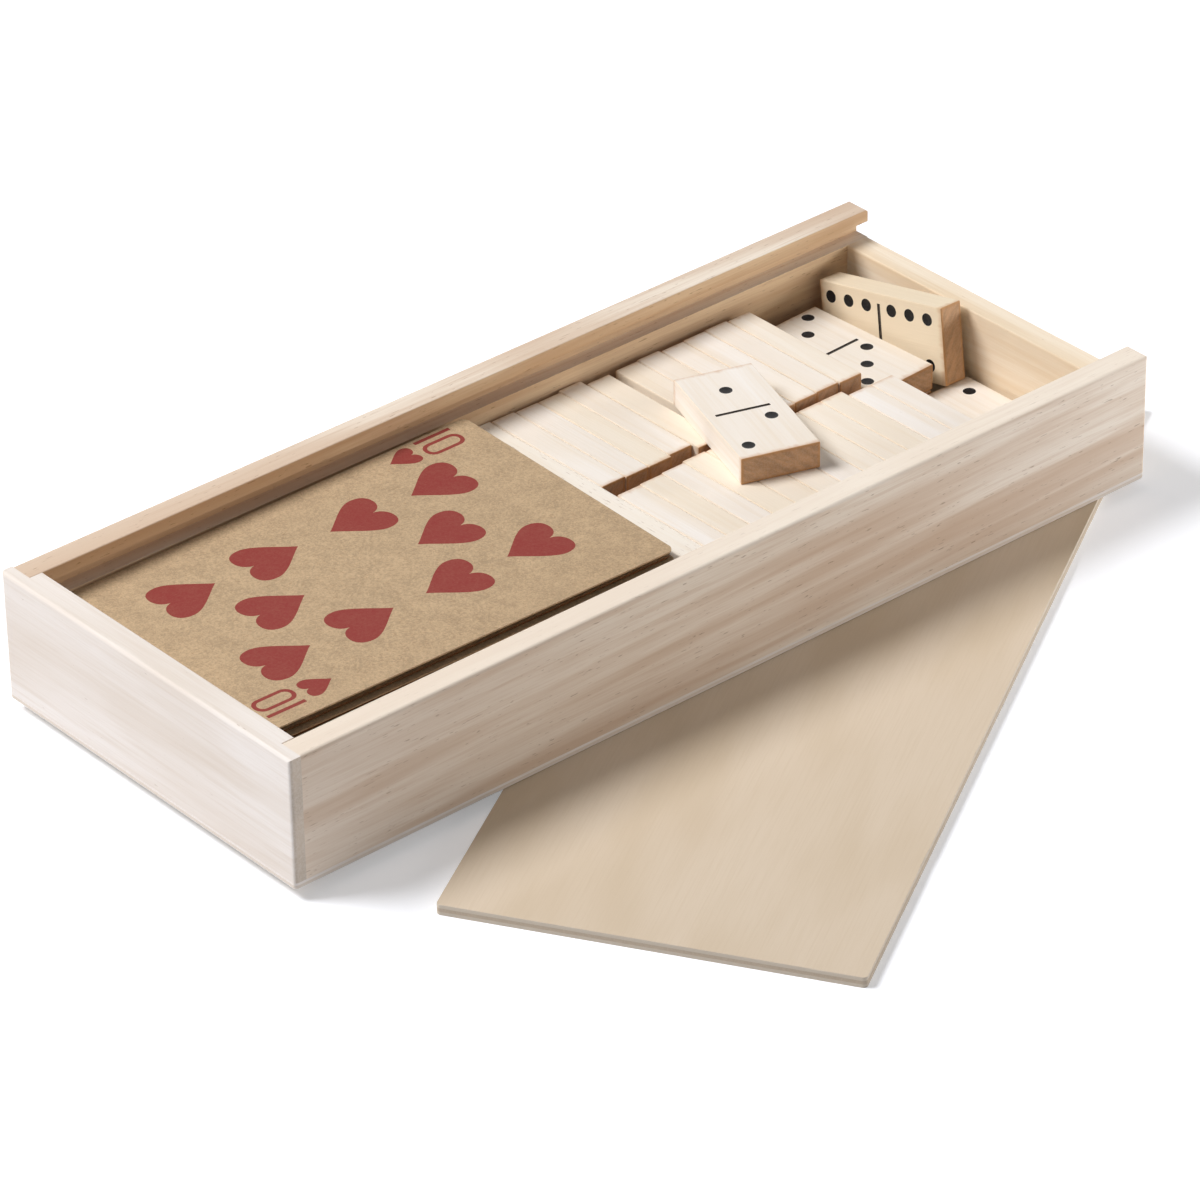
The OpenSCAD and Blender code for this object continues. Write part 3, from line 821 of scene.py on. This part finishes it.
class COMPENDIUM_OT_walls(Operator):
    """Give the four pine walls and the divider their grain"""
    bl_idname = "compendium.walls"
    bl_label = "Pine walls"

    def execute(self, context):
        colours = context.scene.compendium_colours
        tones = (colours.pine, colours.pine_band, colours.pine_fleck)
        end_tones = (colours.end_wall, colours.end_wall_band, colours.pine_fleck)
        # The low wall's warmer tones carry painted bounce light
        low_tones = (colours.low_wall, colours.low_wall_band, colours.pine_fleck)
        divider_tones = (colours.divider, colours.tile_streak, colours.pine_fleck)
        cut = colours.pine_end
        side = {"slope": (0, 0, 0.03), "depths": (0.95, 0.3, 0.35)}
        # The painted shade tint stops half a millimetre inside the far wall's outer face
        inner_painted_shade = (colours.painted_shade_tint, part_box("far_wall")[1].y / MM - 0.5)
        boards = {
            "near_wall": wood_material("pine_near_wall", "X", tones, (0, -62, -150), 6.5, 3.5,
                                       0.7, cut, dark_end=0.3, top_light_painted=colours.painted_top_light,
                                       **side),
            "far_wall": wood_material("pine_far_wall", "X", tones, (0, 90, -150), 6.5, 3.5,
                                      0.7, cut, tint=inner_painted_shade, **side),
            "closed_end_wall": wood_material("pine_closed_end", "Y", end_tones,
                                             (0, -170, 95), 6.5, 3, 0.3, cut,
                                             depths=(0.4, 0.2, 0.3)),
            "low_end_wall": wood_material("pine_low_end", "Y", low_tones, (0, 40, -70),
                                          5, 3, 0.3, cut, depths=(0.5, 0.2, 0.3)),
            "divider": wood_material("pine_divider", "Y", divider_tones, (0, 30, -60), 5, 3,
                                     0.8, cut, depths=(0.3, 0.15, 0.2)),
        }
        for name, material in boards.items():
            slots = frame["nodes"][name].data.materials
            slots.clear()
            slots.append(material)
        return {"FINISHED"}


class COMPENDIUM_OT_base(Operator):
    """Build the plywood base panel, with its lower edge eased by sanding"""
    bl_idname = "compendium.base"
    bl_label = "Base panel"

    def execute(self, context):
        colours, sizes = context.scene.compendium_colours, context.scene.compendium_sizes
        low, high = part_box("base_panel")
        size = high - low
        bm = bmesh.new()
        rings = []
        for level, inset in BASE_EDGE:
            outline = rounded_outline(size.x - 2 * inset * MM, size.y - 2 * inset * MM,
                                      sizes.base_corner)
            rings.append([bm.verts.new((x, y, (level - 0.5) * size.z)) for x, y in outline])
        join_rings(bm, rings)
        tones = (colours.ply, colours.ply_shade, colours.end_wall, colours.pine_end)
        material = plywood_material("base_plywood", tones, size.z / MM)
        new_piece("base_sheet", bm, [material], turned((low + high) / 2, 0), "box",
                  "base_panel")
        return {"FINISHED"}


class COMPENDIUM_OT_lid(Operator):
    """Build the lid, a plywood sheet with slightly chipped edges"""
    bl_idname = "compendium.lid"
    bl_label = "Sliding lid"

    def execute(self, context):
        colours, sizes = context.scene.compendium_colours, context.scene.compendium_sizes
        low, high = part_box("sliding_lid")
        turn = sizes.lid_turn
        thickness = high.z - low.z
        spread_x, spread_y = high.x - low.x, high.y - low.y
        c, s = math.cos(turn), math.sin(turn)
        # The turned box, less what its round corners keep it from reaching
        cut = 2 * sizes.lid_corner * (c + s - 1)
        length = ((spread_x + cut) * c - (spread_y + cut) * s) / (c * c - s * s)
        width = ((spread_y + cut) * c - (spread_x + cut) * s) / (c * c - s * s)
        outline = rounded_outline(length, width, sizes.lid_corner, pitch=sizes.lid_pitch)
        bm = bmesh.new()
        rings = []
        for level, share in LID_EDGE:
            ring = []
            for x, y in outline:
                rough = smooth_noise(Vector((x * WEAR_SCALE, y * WEAR_SCALE, level * 1.7)))
                chip = smooth_noise(Vector((x * CHIP_SCALE, y * CHIP_SCALE, 9 + level)))
                inset = (LID_WEAR * MM * (1 + rough)
                         + sizes.lid_chip * CHIP_GAIN * max(0, chip - CHIP_FROM)) * share
                scale = 1 - inset / max(abs(x), abs(y) * length / width, 1e-6)
                ring.append(bm.verts.new((x * scale, y * scale, (level - 0.5) * thickness)))
            rings.append(ring)
        join_rings(bm, rings)
        tones = (colours.ply, colours.ply_shade, colours.ply_edge, colours.ply_core)
        material = plywood_material("lid_plywood", tones, thickness / MM)
        new_piece("lid_sheet", bm, [material], turned((low + high) / 2, turn), "lid",
                  "sliding_lid")
        return {"FINISHED"}


def card_lift(x, y, sizes):
    """How high a place on the twisted top card lies above the flat deck."""
    u, v = 2 * x / sizes.card_length, 2 * y / sizes.card_width
    return (0.4 + 0.1 * u + 0.1 * v + 0.4 * u * v) * sizes.card_twist


class COMPENDIUM_OT_deck(Operator):
    """Build the stacks of kraft cards under the top card"""
    bl_idname = "compendium.deck"
    bl_label = "Deck of cards"

    def execute(self, context):
        colours, sizes = context.scene.compendium_colours, context.scene.compendium_sizes
        draw = random.Random(sizes.deck_seed)
        board = kraft_material("kraft_board", colours.kraft, colours.kraft_fibre)
        # Painted shade: the dark material for the stacked cards' edges
        edge = kraft_material("kraft_edge_painted_shade", colours.kraft_edge_painted_shade, colours.kraft_fibre)
        low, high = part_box("card_ten_of_hearts")
        middle = (low + high) / 2
        middle.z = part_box("cards_spades")[0].z
        outline = rounded_outline(sizes.card_length, sizes.card_width, sizes.card_corner,
                                  pitch=4 * MM)
        count = sum(amount for _, amount in CARD_STACKS)
        spare = low.z - middle.z - count * sizes.card_thickness - TOP_CLEARANCE * MM
        gaps = [draw.random() ** 3 for _ in range(count)]
        gaps[0] = 0
        gaps[-len(TOP_AIR):] = TOP_AIR
        scale = spare / sum(gaps) * AIR_USED
        bows = [(draw.uniform(-1, 1), draw.uniform(-1, 1), draw.uniform(0, 6)) for _ in gaps]
        slips = [draw.uniform(-0.2, 1) * sizes.card_slip for _ in gaps]
        slips[-len(TOP_SLIPS):] = [share * sizes.card_slip for share in TOP_SLIPS]
        twists = [0] * (count - len(TOP_TWISTS)) + list(TOP_TWISTS)
        half_x, half_y = sizes.card_length / 2, sizes.card_width / 2
        loose = [(half_x * u / 8, half_y * v / 5) for u in range(-7, 8, 2)
                 for v in range(-4, 5, 2)]
        places, faces, numbers = triangulate(outline, [], loose)
        levels = [0.0] * len(places)
        index = 0
        for node, amount in CARD_STACKS:
            bm = bmesh.new()
            for _ in range(amount):
                bend_x, bend_y, phase = bows[index]
                lower, upper = [], []
                for number, (x, y) in enumerate(places):
                    share = (0.8 + 0.12 * bend_x * math.cos(x * 45 + phase)
                             + 0.08 * bend_y * y / half_y)
                    z = (levels[number] + gaps[index] * scale * share
                         + twists[index] * card_lift(x, y, sizes))
                    levels[number] = z + sizes.card_thickness
                    lower.append((x, y - slips[index], z))
                    upper.append((x, y - slips[index], levels[number]))
                # Cards outside PALE_CARDS get the dark edge, painted shade
                add_sheet(bm, faces, numbers[0], lower, upper,
                          side_paint=0 if count - index in PALE_CARDS else 1)
                index += 1
            new_piece(f"{node}_stack", bm, [board, edge], turned(middle, sizes.deck_turn),
                      "deck", node)
        return {"FINISHED"}


class COMPENDIUM_OT_top_card(Operator):
    """Build the printed ten of hearts"""
    bl_idname = "compendium.top_card"
    bl_label = "Ten of hearts"

    def execute(self, context):
        colours, sizes = context.scene.compendium_colours, context.scene.compendium_sizes
        low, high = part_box("card_ten_of_hearts")
        thickness = high.z - low.z
        border = rounded_outline(sizes.card_length, sizes.card_width, sizes.card_corner)
        print_x, print_y = (c * MM for c in PRINT_STEP)
        h, w = sizes.heart_height, sizes.heart_width
        shapes, inked = [], []
        for up in (1, -1):
            for x, y, high_share, wide_share in HEARTS:
                shapes.append(heart(print_x + up * x * MM, print_y + up * y * MM,
                                    h * high_share, w * wide_share, up))
                inked.append(True)
            for x, y, length, width, radius, ink in FIGURE_STROKES:
                stroke = rounded_outline(length * MM, width * MM, radius * MM)
                shapes.append([(print_x + up * (x * MM + px), print_y + up * (y * MM + py))
                               for px, py in stroke])
                inked.append(ink)
        places, faces, numbers = triangulate(border, shapes)
        bm = bmesh.new()
        lower, upper = ([(p.x, p.y, side * thickness / 2 + card_lift(p.x, p.y, sizes))
                         for p in places] for side in (-1, 1))
        add_sheet(bm, faces, numbers[0], lower, upper, side_paint=2, inked=inked)
        plain = bpy.data.materials["kraft_board"]
        red = kraft_material("kraft_red_print", colours.kraft, colours.kraft_fibre,
                             colours.ink)
        # Painted highlight: the pale material for the top card's cut edges
        painted_highlight_edge = kraft_material("kraft_painted_highlight_edge", colours.kraft_painted_highlight, colours.kraft)
        new_piece("ten_of_hearts", bm, [plain, red, painted_highlight_edge],
                  turned((low + high) / 2, sizes.deck_turn), "top_card",
                  "card_ten_of_hearts")
        return {"FINISHED"}


class COMPENDIUM_OT_dominoes(Operator):
    """Build the 28 dominoes with their pips and bars"""
    bl_idname = "compendium.dominoes"
    bl_label = "Dominoes"

    def execute(self, context):
        colours, sizes = context.scene.compendium_colours, context.scene.compendium_sizes
        draw = random.Random(sizes.tile_seed)
        tile_size = (sizes.tile_width, sizes.tile_length, sizes.tile_thickness)
        wood = tile_material("domino_wood", colours, [side / 2 / MM for side in tile_size])
        materials = (wood, paint_material("pip_paint", colours.paint),
                     paint_material("bar_paint", colours.bar_paint))
        upright = Matrix.Rotation(math.radians(-90), 4, "Y")
        for first in range(7):
            for second in range(first, 7):
                node = f"domino_{first}_{second}"
                low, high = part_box(node)
                if node in FLAT_TURNS:
                    turn = Matrix.Rotation(math.radians(FLAT_TURNS[node]), 4, "Z")
                elif node == STANDING_DOMINO:
                    turn = (Matrix.Translation(sizes.standing_shift)
                            @ Matrix.Rotation(sizes.standing_yaw, 4, "Z")
                            @ Matrix.Rotation(sizes.standing_pitch, 4, "X")
                            @ Matrix.Rotation(sizes.standing_roll, 4, "Y") @ upright)
                else:
                    turn = upright
                stray = [draw.uniform(-reach, reach) for reach in PRINT_STRAY]
                shift = tuple(c * MM for c in PRINT_SHIFTS.get(node, stray))
                bm = domino_bmesh(first, second, sizes, shift)
                step = Vector((*ROW_STEPS.get(node, (0, 0)), 0)) * MM
                place = Matrix.Translation((low + high) / 2 + step) @ turn
                piece = new_piece(f"tile_{first}_{second}", bm, materials, place,
                                  body_of(node), node)
                set_own(piece, "grain_place", [draw.uniform(-reach, reach)
                                               for reach in GRAIN_REACH])
                tone = MOST_TONE * draw.random() ** 2
                set_own(piece, "tile_tone", TILE_TONES.get(node, tone))
        return {"FINISHED"}


class COMPENDIUM_OT_stage(Operator):
    """Set the floor, the soft studio light and the camera"""
    bl_idname = "compendium.stage"
    bl_label = "Stage"

    def execute(self, context):
        scene, studio = context.scene, context.scene.compendium_studio
        self.lay_floor(studio)
        self.light_world(scene, studio)
        self.hang_lamp("key_lamp", studio.key, studio.key_place, studio.key_size, (1, 1, 1))
        self.hang_lamp("fill_lamp", studio.fill, studio.fill_place, studio.fill_size,
                       (1, 0.98, 0.96))
        camera = bpy.data.cameras.new("photo_camera")
        camera.lens = studio.lens
        camera.sensor_width = 36
        camera.clip_start, camera.clip_end = 0.01, 20
        holder = bpy.data.objects.new("photo_camera", camera)
        holder.location = studio.camera_place
        holder.rotation_euler = studio.camera_turn
        scene.collection.objects.link(holder)
        scene.camera = holder
        scene.view_settings.view_transform = "Standard"
        return {"FINISHED"}

    def lay_floor(self, studio):
        """White table that takes the soft shadow."""
        half, level = studio.floor_half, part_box("sliding_lid")[0].z
        mesh = bpy.data.meshes.new("floor")
        mesh.from_pydata([(-half, -half, level), (half, -half, level), (half, half, level),
                          (-half, half, level)], [], [(0, 1, 2, 3)])
        floor = bpy.data.objects.new("floor", mesh)
        bpy.context.scene.collection.objects.link(floor)
        material, t, shader, _ = begin_material("floor_white")
        for socket, value in (("Base Color", studio.floor), ("Roughness", 0.9),
                              ("Specular IOR Level", 0.1)):
            t.put(shader.inputs[socket], value)
        lift = t.add("ShaderNodeEmission", inputs={"Color": (1, 1, 1, 1)})
        seen = t.add("ShaderNodeLightPath").outputs["Is Camera Ray"]
        t.put(lift.inputs["Strength"], t.math("MULTIPLY", seen, studio.floor_glow))
        both = t.add("ShaderNodeAddShader")
        t.put(both.inputs[0], shader.outputs[0])
        t.put(both.inputs[1], lift.outputs[0])
        ending = material.node_tree.nodes["Material Output"]
        t.put(ending.inputs["Surface"], both.outputs[0])
        mesh.materials.append(material)

    def light_world(self, scene, studio):
        """Even light all round; the camera and reflections see white."""
        world = bpy.data.worlds.new("studio_world")
        world.use_nodes = True
        scene.world = world
        t = Tree(world.node_tree)
        path = t.add("ShaderNodeLightPath").outputs
        seen = t.math("MAXIMUM", path["Is Camera Ray"],
                      t.math("MAXIMUM", path["Is Glossy Ray"], path["Is Transmission Ray"]))
        ground = world.node_tree.nodes["Background"]
        ground.inputs["Color"].default_value = (1, 1, 1, 1)
        t.put(ground.inputs["Strength"], t.add("ShaderNodeMapRange", inputs={
            "Value": seen, "To Min": studio.sky, "To Max": 1.0}).outputs["Result"])

    def hang_lamp(self, name, power, place, size, colour):
        """Round soft lamp that looks at the box."""
        lamp = bpy.data.lights.new(name, "AREA")
        lamp.shape = "DISK"
        lamp.size = size
        lamp.energy = power
        lamp.color = colour
        holder = bpy.data.objects.new(name, lamp)
        holder.visible_camera = False
        holder.location = place
        holder.rotation_euler = (-Vector(place)).to_track_quat("-Z", "Y").to_euler()
        bpy.context.scene.collection.objects.link(holder)


class COMPENDIUM_PT_sidebar(Panel):
    """Lists the pieces of the games compendium box"""
    bl_idname = "COMPENDIUM_PT_sidebar"
    bl_label = "Compendium"
    bl_space_type = "VIEW_3D"
    bl_region_type = "UI"
    bl_category = "Compendium"

    def draw(self, context):
        for operator in OPERATORS:
            self.layout.operator(operator.bl_idname)
        for settings in ("colours", "sizes", "studio"):
            group = getattr(context.scene, f"compendium_{settings}")
            box = self.layout.box()
            for name in group.__annotations__:
                box.prop(group, name)


OPERATORS = (COMPENDIUM_OT_walls, COMPENDIUM_OT_base, COMPENDIUM_OT_lid, COMPENDIUM_OT_deck,
             COMPENDIUM_OT_top_card, COMPENDIUM_OT_dominoes, COMPENDIUM_OT_stage)
CLASSES = (CompendiumColours, CompendiumSizes, CompendiumStudio, *OPERATORS,
           COMPENDIUM_PT_sidebar)


def register():
    for cls in CLASSES:
        bpy.utils.register_class(cls)
    bpy.types.Scene.compendium_colours = PointerProperty(type=CompendiumColours)
    bpy.types.Scene.compendium_sizes = PointerProperty(type=CompendiumSizes)
    bpy.types.Scene.compendium_studio = PointerProperty(type=CompendiumStudio)


def unregister():
    for name in ("colours", "sizes", "studio"):
        delattr(bpy.types.Scene, f"compendium_{name}")
    for cls in reversed(CLASSES):
        bpy.utils.unregister_class(cls)


def main():
    register()
    bpy.ops.compendium.walls()
    bpy.ops.compendium.base()
    bpy.ops.compendium.lid()
    bpy.ops.compendium.deck()
    bpy.ops.compendium.top_card()
    bpy.ops.compendium.dominoes()
    bpy.ops.compendium.stage()


if __name__ == "__main__":
    main()
